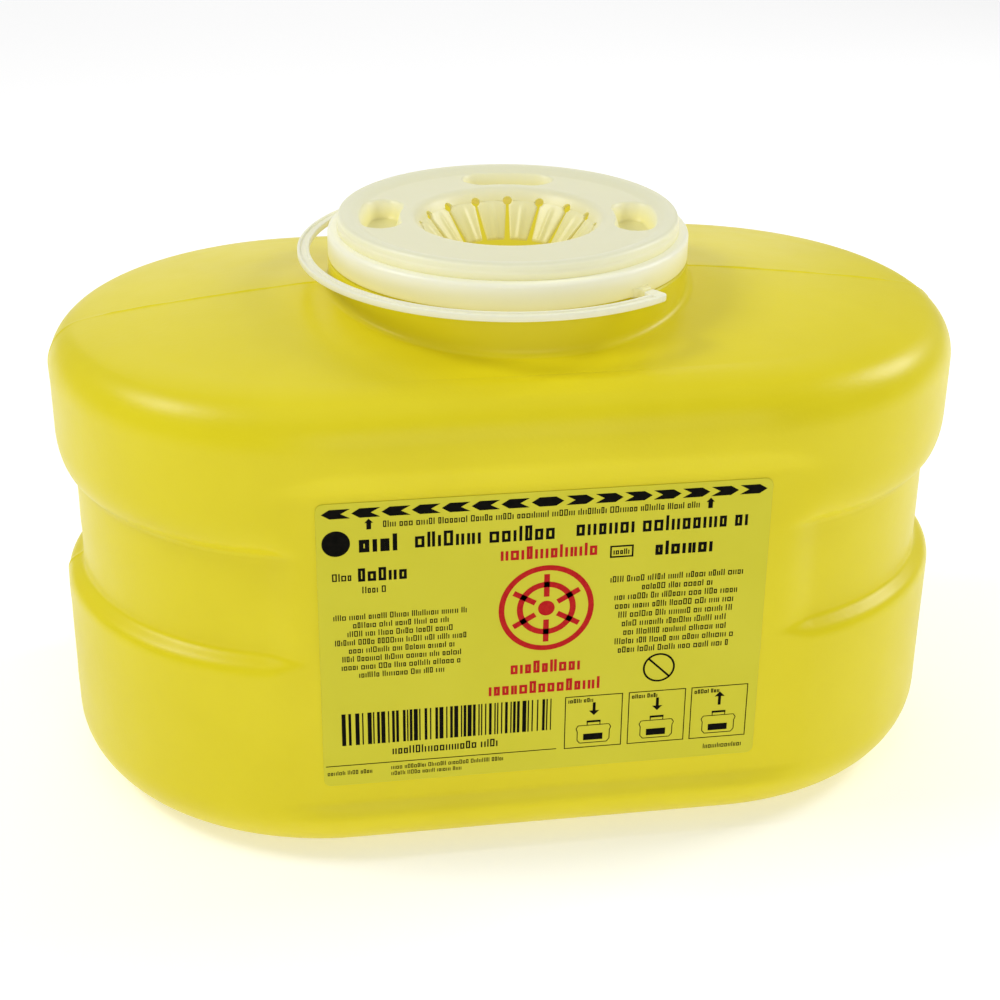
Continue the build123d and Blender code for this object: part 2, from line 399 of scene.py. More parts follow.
def body_material():
    """Satin blow-moulded polyethylene: fine grain, faint flow marks, and a faint painted glow for light
    inside the plastic.
    """
    material, tree, shader = new_material("yellow_body")
    mottled = noise(tree, 28, 3.0)
    base = ramp(tree, mottled, [(0.30, (0.690, 0.590, 0.004)), (0.70, (0.735, 0.635, 0.009))])
    flow = noise(tree, 9, 1.0)
    colour = mix_colour(tree, scaled(tree, flow, 0.0, 0.35), base, (0.750, 0.655, 0.014))
    tree.links.new(colour, shader.inputs["Base Color"])
    rough = scaled(tree, noise(tree, 120, 4.0), 0.29, 0.41)
    tree.links.new(rough, shader.inputs["Roughness"])
    set_inputs(
        shader,
        {
            "IOR": 1.50,
            "Specular IOR Level": 0.28,
            "Sheen Weight": 0.03,
            "Sheen Roughness": 0.45,
            "Sheen Tint": (1.0, 0.98, 0.80, 1.0),
            # Emission: a faint painted yellow glow that lifts the shaded parts, standing in for light inside
            # the plastic.
            "Emission Color": (0.76, 0.66, 0.015, 1.0),
            "Emission Strength": 0.055,
            "Subsurface Weight": 0.20,
            "Subsurface Radius": (0.9, 0.8, 0.12),
            "Subsurface Scale": 0.006,
        },
    )
    bumps(tree, shader, [(noise(tree, 130, 2.0), 0.10, 0.0004), (noise(tree, 1000, 3.0), 0.35, 0.0001)])
    return material


def milky_material(name, low_z, high_z, stops, glow, upward=1.0, rough=0.40):
    """Natural, milky polypropylene, with painted yellow light, as if coming through from the yellow below,
    stronger or weaker at each height.
    Faces that look up get painted shade, made darker by the factor upward, as less light comes through them."""
    material, tree, shader = new_material(name)
    # Painted yellow light: the colour runs with height from yellower low down to paler milky high up.
    milky_and_painted_yellow = ramp(tree, between(tree, height_of(tree), low_z * MM, high_z * MM), stops)
    cloudy = noise(tree, 60, 3.0)
    paler = tuple(min(1.0, channel * 1.06 + 0.01) for channel in stops[-1][1])
    colour = mix_colour(tree, scaled(tree, cloudy, 0.0, 0.22), milky_and_painted_yellow, paler)
    # Painted shade: faces that look up are multiplied darker by the factor upward.
    facing = add(tree, "ShaderNodeSeparateXYZ")
    tree.links.new(add(tree, "ShaderNodeNewGeometry").outputs["Normal"], facing.inputs["Vector"])
    painted_top_shade = ramp(tree, facing.outputs["Z"], [(0.45, (1.0, 1.0, 1.0)), (0.97, (upward, upward, upward * 0.97))])
    colour = mix_colour(tree, 1.0, colour, painted_top_shade, "MULTIPLY")
    tree.links.new(colour, shader.inputs["Base Color"])
    uneven = scaled(tree, noise(tree, 200, 3.0), rough - 0.06, rough + 0.06)
    tree.links.new(uneven, shader.inputs["Roughness"])
    set_inputs(
        shader,
        {
            "IOR": 1.49,
            # Emission: a painted pale yellow glow for light coming through from the bottle.
            "Emission Color": (0.86, 0.83, 0.58, 1.0),
            "Emission Strength": glow,
            "Subsurface Weight": 0.30,
            "Subsurface Radius": (1.0, 0.95, 0.6),
            "Subsurface Scale": 0.0015,
        },
    )
    bumps(tree, shader, [(noise(tree, 220, 2.0), 0.08, 0.0003), (noise(tree, 2200, 2.0), 0.08, 0.00004)])
    return material


def inside_material():
    """The bottle's inner wall: a dimmer yellow than the outside, with a painted glow for light coming through
    the translucent yellow plastic.
    """
    material, tree, shader = new_material("yellow_inside")
    cloudy = noise(tree, 30, 2.0)
    colour = ramp(tree, cloudy, [(0.3, (0.40, 0.37, 0.035)), (0.7, (0.44, 0.40, 0.045))])
    tree.links.new(colour, shader.inputs["Base Color"])
    tree.links.new(scaled(tree, noise(tree, 150, 3.0), 0.45, 0.60), shader.inputs["Roughness"])
    # Emission: painted yellow glow for light coming through the wall.
    set_inputs(shader, {"Emission Color": (0.66, 0.58, 0.055, 1.0), "Emission Strength": 0.62})
    bumps(tree, shader, [(noise(tree, 130, 2.0), 0.10, 0.0004)])
    return material


def label_material():
    """Glossy vinyl film over the yellow wall."""
    material, tree, shader = new_material("label_film")
    cloudy = noise(tree, 40, 2.0)
    colour = ramp(tree, cloudy, [(0.3, (0.655, 0.605, 0.018)), (0.7, (0.680, 0.628, 0.024))])
    tree.links.new(colour, shader.inputs["Base Color"])
    tree.links.new(scaled(tree, noise(tree, 90, 3.0), 0.26, 0.36), shader.inputs["Roughness"])
    set_inputs(shader, {"Specular IOR Level": 0.30})
    bumps(tree, shader, [(noise(tree, 70, 2.0), 0.10, 0.0004), (noise(tree, 2600, 1.0), 0.05, 0.00003)])
    return material


def ink_material(name, light, dark):
    """Printed ink with a faint break-up."""
    material, tree, shader = new_material(name)
    colour = ramp(tree, noise(tree, 900, 3.0), [(0.35, dark), (0.70, light)])
    tree.links.new(colour, shader.inputs["Base Color"])
    tree.links.new(scaled(tree, noise(tree, 300, 2.0), 0.50, 0.62), shader.inputs["Roughness"])
    set_inputs(shader, {"Specular IOR Level": 0.04})
    return material


BODY = body_material()
INSIDE = inside_material()
# Milky cap parts. Each colour ramp runs from yellower low down to paler milky high up: painted yellow light
# from the bottle below, which also makes the pocket floors yellower. The number after each ramp is the
# strength of a painted glow; the disc's second number makes its upward faces darker as painted shade.
COLLAR = milky_material(
    "milky_collar",
    146.8,
    154.4,
    [
        (0.00, (0.70, 0.62, 0.13)),
        (0.22, (0.76, 0.71, 0.30)),
        (0.55, (0.79, 0.76, 0.48)),
        (0.80, (0.80, 0.79, 0.62)),
        (1.00, (0.79, 0.79, 0.64)),
    ],
    0.19,
)
DISC = milky_material(
    "milky_disc",
    152.0,
    158.2,
    [
        (0.00, (0.82, 0.75, 0.22)),
        (0.30, (0.84, 0.79, 0.36)),
        (0.60, (0.85, 0.82, 0.52)),
        (1.00, (0.84, 0.835, 0.61)),
    ],
    0.10,
    0.83,
)
PETAL = milky_material(
    "milky_petal",
    144.4,
    155.0,
    [
        (0.00, (0.70, 0.63, 0.17)),
        (0.50, (0.73, 0.68, 0.27)),
        (0.85, (0.79, 0.755, 0.41)),
        (1.00, (0.82, 0.795, 0.49)),
    ],
    0.10,
)
STRIP = milky_material(
    "milky_handle",
    147.0,
    149.2,
    [
        (0.00, (0.77, 0.75, 0.52)),
        (0.55, (0.79, 0.78, 0.60)),
        (1.00, (0.76, 0.76, 0.62)),
    ],
    0.13,
)
LABEL = label_material()
BLACK = ink_material("ink_black", (0.006, 0.005, 0.003), (0.002, 0.002, 0.001))
RED = ink_material("ink_red", (0.560, 0.022, 0.018), (0.480, 0.012, 0.014))


# ---------------------------------------------------------------- bottle
def waist_table():
    """Heights and insets of the waist groove, with its corners softened."""
    z = np.arange(WAIST_LOW_Z - 8, WAIST_TOP_Z + 8, 0.1)
    low = np.clip((z - WAIST_LOW_Z) / (WAIST_FLOOR_Z - WAIST_LOW_Z), 0, 1)
    high = np.clip((z - WAIST_CEILING_Z) / (WAIST_TOP_Z - WAIST_CEILING_Z), 0, 1)
    opening = 1 - np.sqrt(1 - low**2)
    closing = 1 - np.sqrt(1 - (1 - high) ** 2)
    inset = WAIST_INSET * np.minimum(opening, closing)
    kernel = np.exp(-0.5 * (np.arange(-30, 31) * 0.1 / WAIST_SOFTNESS) ** 2)
    return z, np.convolve(inset, kernel / kernel.sum(), mode="same")


WAIST_Z, WAIST_DEPTHS = waist_table()


def waist_inset(z):
    """How far the waist groove sinks in at this height."""
    return float(np.interp(z, WAIST_Z, WAIST_DEPTHS, left=0, right=0))


class Outline:
    """The bottle's columns: a foot on the medial line, an outward normal and a seam weight."""

    def __init__(self):
        seam = np.array([-2.4, -1.2, -0.55, -0.25, 0.0, 0.25, 0.55, 1.2, 2.4]) / END_R
        even = np.radians(np.linspace(-90, 90, 121))
        even = even[np.abs(even) > 3.4 / END_R]
        turn = np.sort(np.concatenate([even, seam]))
        straight = np.linspace(HALF_STRAIGHT, -HALF_STRAIGHT, 50)[1:-1]
        feet = [np.full(len(turn), HALF_STRAIGHT), straight, np.full(len(turn), -HALF_STRAIGHT), -straight]
        side = np.full(len(straight), pi / 2)
        angles = np.concatenate([turn, side, turn + pi, side + pi])
        self.foot_x = np.concatenate(feet)
        self.normal = np.stack([np.cos(angles), np.sin(angles)], 1)
        weights = np.exp(-((turn * END_R / SEAM_WIDTH) ** 2))
        flat = np.zeros(len(straight))
        self.seam = np.concatenate([weights, flat, weights, flat])
        self.count = len(angles)

    def at(self, distance):
        """Plan points at a distance from the medial line."""
        x = self.foot_x + self.normal[:, 0] * distance
        return np.stack([x, self.normal[:, 1] * distance], 1)


COLUMNS = Outline()


def waves(plan, z):
    """The faint unevenness of a blow-moulded wall."""
    x, y = plan[:, 0], plan[:, 1]
    first = np.sin(x / 23 + 0.6) * np.sin(z / 19 + y / 31 + 0.3)
    second = np.sin(x / 11 - y / 17 + 1.9) * np.sin(z / 9 + 1.1)
    return WAVINESS * (0.65 * first + 0.35 * second - 1)


def seam_height(plan, z):
    """The parting line's height along its run, a little uneven."""
    run = plan[:, 0] * 0.9 + z
    return SEAM_HEIGHT * (0.8 + 0.3 * np.sin(run / 3.1) * np.sin(run / 7.7 + 1))


def row3(plan, z):
    """Plan points lifted to a height."""
    return np.column_stack([plan, np.broadcast_to(z, (len(plan),))])


def wall_row(z, inset, distance=None):
    """One ring of the upright wall, with waist, panels, seam and waviness."""
    reach = END_R - inset - waist_inset(z) if distance is None else distance
    plan = COLUMNS.at(reach)
    side = np.abs(plan[:, 1])
    face = PANEL_Y - inset
    ease_low = 1 - smoothstep(PANEL_LOW_Z - PANEL_EASE_LOW, PANEL_LOW_Z, z)
    ease_high = smoothstep(PANEL_HIGH_Z, PANEL_HIGH_Z + PANEL_EASE_HIGH, z)
    limit = face + (END_R - PANEL_Y + 1.5) * np.maximum(ease_low, ease_high)
    across = 1 - smoothstep(PANEL_FLAT_HALF, PANEL_HALF, np.abs(plan[:, 0]))
    side = np.where(side > face - 12, soft_min(side, limit, 0.7), side)
    side = side + across * np.maximum(0, face - side) * (1 - np.maximum(ease_low, ease_high))
    plan[:, 1] = np.sign(plan[:, 1]) * side
    if inset == 0:
        calm = 1 - 0.8 * across * (1 - np.maximum(ease_low, ease_high))
        push = waves(plan, z) * calm + COLUMNS.seam * seam_height(plan, z)
        plan += COLUMNS.normal * push[:, None]
    return row3(plan, z)


def shoulder_curve(inset, steps):
    """(distance, height) along the shoulder, from the wall's top to the crown."""
    turn = np.linspace(0, SHOULDER_TURN, steps // 2)
    reach = SHOULDER_R - inset
    corner_r = END_R - SHOULDER_R + reach * np.cos(turn)
    corner_z = SHOULDER_Z + reach * np.sin(turn)
    top = CROWN_Z - inset
    lead = (corner_r[-1] - CROWN_LEAD * sin(SHOULDER_TURN), corner_z[-1] + CROWN_LEAD * cos(SHOULDER_TURN))
    t = np.linspace(0, 1, steps - steps // 2 + 1)[1:]
    shares = ((1 - t) ** 3, 3 * t * (1 - t) ** 2, 3 * t * t * (1 - t), t**3)
    crown_r = shares[0] * corner_r[-1] + shares[1] * lead[0] + shares[2] * CROWN_LEVEL
    crown_z = shares[0] * corner_z[-1] + shares[1] * lead[1] + (shares[2] + shares[3]) * top
    return np.append(corner_r, crown_r), np.append(corner_z, crown_z)


def shoulder_height(plan, inset):
    """Height of the shoulder over plan points."""
    distance, height = shoulder_curve(inset, 400)
    spread = np.hypot(np.maximum(np.abs(plan[:, 0]) - HALF_STRAIGHT, 0), plan[:, 1])
    return np.interp(spread, distance[::-1], height[::-1])


def polar_rows(outer, inner_r, inset, shares):
    """Rings over the shoulder that run from an outline in to a circle about the neck."""
    reach = np.hypot(outer[:, 0], outer[:, 1])
    ray = outer / reach[:, None]
    rows = []
    for share in shares:
        plan = ray * (reach + (inner_r - reach) * share)[:, None]
        z = shoulder_height(plan, inset)
        if inset == 0:
            z = z + COLUMNS.seam * seam_height(plan, z) + waves(plan, z)
        rows.append(row3(plan, z))
    return rows, ray


def base_rows(inset):
    """Rings of the base, from the medial line out to the foot of the wall."""
    flat = [0.01, 0.4, 0.8, 1.4, 6, 16, 26, 34, 38, 40, 41.2, 42.4, 43.6, 44.8, 46, 47, 50, 54, 58]
    rows = []
    for distance in flat:
        lift = PUSH_UP * (1 - smoothstep(PUSH_UP_R, REST_RING_R, distance))
        pinch = 0.6 * (1 - smoothstep(0.3, 1.2, distance)) if inset == 0 else 0.0
        rows.append(row3(COLUMNS.at(distance), lift - pinch + inset))
    for angle in np.radians(np.linspace(0, 90, 13)[1:-1]):
        reach = END_R - BASE_ROUND + (BASE_ROUND - inset) * sin(angle)
        z = BASE_ROUND - (BASE_ROUND - inset) * cos(angle)
        rows.append(wall_row(z, inset, reach))
    return rows


def wall_heights(step):
    """Ring heights up the wall, closer together round the waist's edges."""
    even = np.arange(BASE_ROUND, SHOULDER_Z, step)
    fine = np.arange(WAIST_LOW_Z - 2, WAIST_FLOOR_Z + 2.5, step * 0.4)
    even = even[(even < fine[0]) | (even > fine[-1])]
    return np.sort(np.concatenate([even, fine]))


def outer_rows():
    """All rings of the bottle's outside, from the base to the neck's top."""
    rows = base_rows(0)
    rows += [wall_row(z, 0) for z in wall_heights(1.0)]
    distance, height = shoulder_curve(0, 34)
    near = distance > SHOULDER_NEAR_R
    rows += [wall_row(z, 0, reach) for reach, z in zip(distance[near], height[near])]
    outline = COLUMNS.at(distance[near][-1])
    polar, ray = polar_rows(outline, PLINTH_R + PLINTH_FILLET, 0, np.linspace(0, 1, 26)[1:])
    rows += polar
    foot_z = polar[-1][:, 2]
    for angle in np.radians([15, 30, 45, 60, 75, 90]):
        plan = ray * (PLINTH_R + PLINTH_FILLET * (1 - sin(angle)))
        rows.append(row3(plan, foot_z + PLINTH_FILLET * (1 - cos(angle))))
    top = PLINTH_TOP_Z
    for share in (0.25, 0.5, 0.75, 0.95):
        rows.append(row3(ray * PLINTH_R, rows[-1][:, 2] + (top - 0.4 - rows[-1][:, 2]) * share))
    neck = rounded(
        [
            (PLINTH_R, top, 0.35),
            (NECK_R, top, 0.3),
            (NECK_R, BEAD_Z - BEAD_HALF_H, 0.2),
            (BEAD_R, BEAD_Z, 0.3),
            (NECK_R, BEAD_Z + BEAD_HALF_H, 0.2),
            (NECK_R, NECK_TOP_Z, 0.4),
            (NECK_BORE_R, NECK_TOP_Z, 0.4),
            (NECK_BORE_R, top - 5, 0),
        ]
    )
    for r, z in neck[:-1]:
        rows.append(row3(ray * r, z))
    return rows, ray


def inner_rows(ray):
    """All rings of the bottle's inside, from the neck's bore down to the base."""
    distance, height = shoulder_curve(WALL, 34)
    near = distance > SHOULDER_NEAR_R
    outline = COLUMNS.at(distance[near][-1])
    rows, _ = polar_rows(outline, NECK_BORE_R, WALL, np.linspace(1, 0, 20)[:-1])
    rows += [wall_row(z, WALL, reach) for reach, z in zip(distance[near][::-1], height[near][::-1])]
    rows += [wall_row(z, WALL) for z in wall_heights(2.5)[::-1]]
    rows += base_rows(WALL)[::-1]
    return rows


def build_bottle():
    """The bottle as one closed shell, outside and inside."""
    rows, ray = outer_rows()
    first_inner = (len(rows) - 1) * COLUMNS.count
    rows += inner_rows(ray)
    points = np.concatenate(rows)
    faces = ring_faces(len(rows), COLUMNS.count)
    bottle = make_object("bottle_shell", points, faces, BODY, "container")
    bottle.data.materials.append(INSIDE)
    for polygon in bottle.data.polygons[first_inner:]:
        polygon.material_index = 1
    face_outwards(bottle)
    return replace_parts(bottle, "container_body")


# ---------------------------------------------------------------- cap
def slope_points(along, normal):
    """(radius, height) at a distance down the funnel's slope and off its middle surface."""
    r = HINGE_R - along * SLOPE_IN - normal * SLOPE_DOWN
    z = HINGE_Z - along * SLOPE_DOWN + normal * SLOPE_IN
    return r, z


def build_collar():
    """The collar: skirt, ledge and plate, with softened edges."""
    under = COLLAR_TOP_Z - COLLAR_PLATE
    outline = rounded(
        [
            (SKIRT_R, COLLAR_LOW[2], 0.45),
            (SKIRT_R, COLLAR_TOP_Z, 1.3),
            (COLLAR_MOUTH_R, COLLAR_TOP_Z, 0.3),
            (COLLAR_MOUTH_R, under, 0.3),
            (SKIRT_BORE_R, under, 0.5),
            (SKIRT_BORE_R, COLLAR_LOW[2], 0.3),
        ],
        6,
    )
    collar = lathe("collar_ring", outline, COLLAR, "container", 320)
    face_outwards(collar)
    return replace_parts(collar, "cap_collar")


def pocket_share(r, angle, grow):
    """How far a disc point lies inside a finger pocket, 0 outside to 1 on its floor."""
    share = np.zeros(np.broadcast(r, angle).shape)
    half = POCKET_ARC / 2 * POCKET_MID_R - POCKET_RADIAL / 2
    for centre in POCKET_ANGLES:
        swing = (angle - centre + pi) % (2 * pi) - pi
        across = np.maximum(np.abs(swing * POCKET_MID_R) - half, 0)
        edge = np.hypot(across, r - POCKET_MID_R) - POCKET_RADIAL / 2 - grow
        share = np.maximum(share, 1 - smoothstep(-1.5, 0.7, edge))
    return share


def build_disc():
    """The funnel disc: rim, top with finger pockets, lip, and the keyholes' upper halves."""
    per_petal = 32
    columns = PETALS * per_petal
    angles = np.arange(columns) * 2 * pi / columns
    swing = ((angles - DISC_TURN + PITCH / 2) % PITCH - PITCH / 2) * HINGE_R
    bite = np.sqrt(np.maximum(KEYHOLE_R**2 - swing**2, 0))
    lip_end = np.maximum(bite, LIP_END)
    over = PETAL_T / 2
    face_along = (DISC_FACE_Z - slope_points(0, over)[1]) / SLOPE_DOWN
    under_z = DISC_FACE_Z - DISC_PLATE
    foot_in = DISC_FOOT_R - DISC_FOOT_W
    under_along = (under_z - slope_points(0, -over)[1]) / SLOPE_DOWN
    mouth_r = slope_points(-face_along, over)[0]
    rows = []

    def ring(r, z):
        r = np.broadcast_to(r, (columns,))
        z = np.broadcast_to(z, (columns,))
        rows.append(np.stack([r * np.cos(angles), r * np.sin(angles), z], 1))

    for share in np.linspace(0, 1, 5):
        ring(*slope_points(-(lip_end + (under_along - lip_end) * share), -over))
    for r in np.linspace(slope_points(-under_along, -over)[0] + 0.8, foot_in, 46):
        share = pocket_share(r, angles, POCKET_WALL)
        ring(r, under_z - (POCKET_DEPTH + POCKET_WALL - DISC_PLATE) * share)
    rim = rounded(
        [
            (foot_in, under_z, 0),
            (foot_in, COLLAR_TOP_Z, 0.2),
            (DISC_FOOT_R, COLLAR_TOP_Z, 0.15),
            (DISC_FOOT_R, DISC_FOOT_Z - 0.35, 0.5),
            (DISC_R, DISC_FOOT_Z + 0.35, 0.5),
            (DISC_R, DISC_TOP_Z, 1.1),
            (DISC_RIM_IN, DISC_TOP_Z, 0),
        ],
        5,
    )
    for r, z in rim[1:]:
        ring(r, z)
    for r in np.linspace(DISC_RIM_IN, mouth_r + 2.4, 62)[1:]:
        face_z = DISC_FACE_Z + (DISC_TOP_Z - DISC_FACE_Z) * smoothstep(DISC_FACE_R, DISC_RIM_IN, r)
        ring(r, face_z - POCKET_DEPTH * pocket_share(r, angles, 0))
    lip = rounded(
        [
            (mouth_r + 4, DISC_FACE_Z, 0),
            (mouth_r, DISC_FACE_Z, 3.6),
            slope_points(0, over) + (0,),
        ],
        8,
    )
    for r, z in lip[1:-1]:
        ring(r, z)
    start = (lip[-2][1] - slope_points(0, over)[1]) / SLOPE_DOWN
    for share in np.linspace(0.15, 0.9, 6):
        ring(*slope_points(-(start + (lip_end - start) * share), over))
    for along, normal in ((0.04, over), (0, over), (0, over - 0.04)):
        ring(*slope_points(-(lip_end + along), normal))
    faces = ring_faces(len(rows), columns, closed_rows=True)
    disc = make_object("disc_top", np.concatenate(rows), faces, DISC, "container")
    face_outwards(disc)
    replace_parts(disc, "funnel_disc")
    spigot = rounded(
        [
            (SPIGOT_R, DISC_LOW[2], 0.4),
            (SPIGOT_R, under_z, 0),
            (SPIGOT_R - SPIGOT_WALL, under_z, 0),
            (SPIGOT_R - SPIGOT_WALL, DISC_LOW[2], 0.4),
        ]
    )
    face_outwards(lathe("disc_spigot", spigot, DISC, "container", 128))
    return disc


def petal_mesh():
    """Points and faces of one petal in its own frame: across, down the slope, off the face."""
    across = np.linspace(-1, 1, 21)
    pitch_half = HINGE_R * tan(PITCH / 2)
    notch = np.linspace(0, KEYHOLE_R, 9)
    down = np.concatenate([[0, 0.04], notch[1:], np.linspace(KEYHOLE_R, SLOPE_RUN, 20)[1:]])
    root_half = pitch_half - SLIT_TOP / 2
    tip_half = TIP_R * tan(PITCH / 2) - SLIT_TIP / 2
    rows = []
    for normal_side in (1, -1):
        for v in down if normal_side == 1 else down[::-1]:
            straight = root_half + (tip_half - root_half) * v / SLOPE_RUN
            bite = np.sqrt(max(KEYHOLE_R**2 - v**2, 0))
            half = min(straight, pitch_half - bite)
            edge = 1 - 0.30 * np.abs(across) ** 12
            tip = 1 - 0.25 * smoothstep(SLOPE_RUN - 1.0, SLOPE_RUN, v)
            thick = PETAL_T / 2 * edge * tip
            fold = FOLD_H * smoothstep(0, 3, v) * np.maximum(0, 1 - np.abs(across * half) / 1.1)
            lift = normal_side * thick + (fold if normal_side == 1 else 0)
            rows.append(np.stack([across * half, np.full(len(across), v), lift], 1))
    count = len(down)
    root_half = pitch_half - KEYHOLE_R
    for angle in np.radians(np.linspace(-90, 90, 9)[1:-1]):
        back = PETAL_T / 2 * np.cos(angle)
        up = PETAL_T / 2 * np.sin(angle)
        rows.append(np.stack([across * root_half, np.full(len(across), -back), np.full(len(across), up)], 1))
    columns = len(across)
    total = len(rows)
    faces = ring_faces(total, columns, closed_rows=True, closed_columns=False)
    for side in (0, columns - 1):
        for i in range(count - 1):
            top = i * columns + side
            low = (2 * count - 1 - i) * columns + side
            faces.append((top, top + columns, low - columns, low))
        root = [0, *range(2 * count - 1, total)]
        faces.append([row * columns + side for row in root])
    return np.concatenate(rows), faces


def build_petals():
    """The funnel's petals, each on its own body."""
    points, faces = petal_mesh()
    for index in range(PETALS):
        angle = DISC_TURN + (index + 0.5) * PITCH
        r, z = slope_points(points[:, 1], points[:, 2])
        node = f"petal_{index + 1:02d}"
        leaf = turned(r, points[:, 0], z, angle)
        piece = make_object(f"{node}_leaf", leaf, faces, PETAL, node)
        face_outwards(piece)
        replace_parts(piece, node)


# ---------------------------------------------------------------- handle and lugs
def slab(name, plan, low_z, high_z, edge, turn, material, body):
    """A flat block over a plan outline, with softened edges, turned about Z."""
    plan = np.array(plan)
    middle = plan.mean(0)
    half = np.ptp(plan, axis=0) / 2
    levels = [(low_z, edge * 3), (low_z, edge), (low_z + edge * 0.3, edge * 0.3), (low_z + edge, 0)]
    levels += [(high_z - edge, 0), (high_z - edge * 0.3, edge * 0.3), (high_z, edge), (high_z, edge * 3)]
    rows = [row3(middle + (plan - middle) * (1 - shrink / half), z) for z, shrink in levels]
    points = np.concatenate(rows)
    points = turned(points[:, 0], points[:, 1], points[:, 2], turn)
    faces = capped_faces(len(rows), len(plan))
    return face_outwards(make_object(name, points, faces, material, body))


def arc_points(x, y, radius, start, turn, steps=6):
    """Points along an arc, from a start angle in degrees through a turn."""
    angles = np.radians(np.linspace(start, start + turn, steps + 1))
    return [(x + radius * cos(a), y + radius * sin(a)) for a in angles]


def lug_plan():
    """A collar lug's outline on the +X side, flared where it leaves the skirt."""
    half = LUG_W / 2
    root = SKIRT_R - 0.4
    flare = LUG_FLARE
    tip = 0.6
    plan = [(LUG_ROOT_R, -half - flare)]
    plan += arc_points(root + flare, -half - flare, flare, 180, -90)
    plan += arc_points(LUG_R - tip, -half + tip, tip, -90, 90)
    plan += arc_points(LUG_R - tip, half - tip, tip, 0, 90)
    plan += arc_points(root + flare, half + flare, flare, 270, -90)
    return plan + [(LUG_ROOT_R, half + flare)]


def boss_plan():
    """A handle boss's outline on the +X side, with a round outer end."""
    half = LUG_W / 2
    outer = HANDLE_R + HANDLE_W / 2
    inner_corner = 0.5
    plan = arc_points(HINGE_FACE_R + inner_corner, -half + inner_corner, inner_corner, 180, 90)
    plan += arc_points(outer - BOSS_CORNER, -half + BOSS_CORNER, BOSS_CORNER, -90, 90)
    plan += arc_points(outer - BOSS_CORNER, half - BOSS_CORNER, BOSS_CORNER, 0, 90)
    return plan + arc_points(HINGE_FACE_R + inner_corner, half - inner_corner, inner_corner, 90, 90)


def pin_piece(name, turn):
    """A hinge pin, as a short rounded rod along the radius."""
    steps = 20
    start = HINGE_FACE_R - PIN_LENGTH
    angles = np.linspace(0, 2 * pi, steps, endpoint=False)
    rows = []
    outline = [(start, PIN_R - PIN_CHAMFER)]
    outline += [(r, PIN_R) for r in (start + PIN_CHAMFER, HINGE_FACE_R, HINGE_FACE_R + PIN_ROOT)]
    for r, radius in outline:
        rows.append(turned(r, radius * np.cos(angles), HANDLE_Z + radius * np.sin(angles), turn))
    faces = capped_faces(len(rows), steps)
    return face_outwards(make_object(name, np.concatenate(rows), faces, STRIP, "handle"))


def build_handle():
    """The handle's strip, its two end bosses and its hinge pins."""
    low = HANDLE_Z - HANDLE_T / 2
    high = HANDLE_Z + HANDLE_T / 2
    inner = HANDLE_R - HANDLE_W / 2
    outer = HANDLE_R + HANDLE_W / 2
    section = rounded(
        [
            (inner, low, 0.3),
            (outer, low, 0.3),
            (outer, high, 0.3),
            (outer - RAIL_W, high, 0.2),
            (outer - RAIL_W - 0.2, high - RAIL_H, 0.15),
            (inner + RAIL_W + 0.2, high - RAIL_H, 0.15),
            (inner + RAIL_W, high, 0.2),
            (inner, high, 0.3),
        ],
        3,
    )
    stations = HANDLE_ANGLE - np.linspace(0, pi, 129)
    rows = [[(r * cos(a), r * sin(a), z) for r, z in section] for a in stations]
    faces = capped_faces(len(rows), len(section))
    strip = make_object("handle_strip", np.concatenate(rows), faces, STRIP, "handle")
    face_outwards(strip)
    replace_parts(strip, "carry_handle")
    for number, turn in enumerate((HANDLE_ANGLE, HANDLE_ANGLE + pi), 1):
        slab(f"handle_boss_{number}", boss_plan(), low, high, 0.3, turn, STRIP, "handle")
        pin_piece(f"handle_pin_{number}", turn)
        lug_top = COLLAR_LOW[2] + LUG_T
        slab(f"collar_lug_{number}", lug_plan(), COLLAR_LOW[2], lug_top, 0.3, turn, COLLAR, "container")


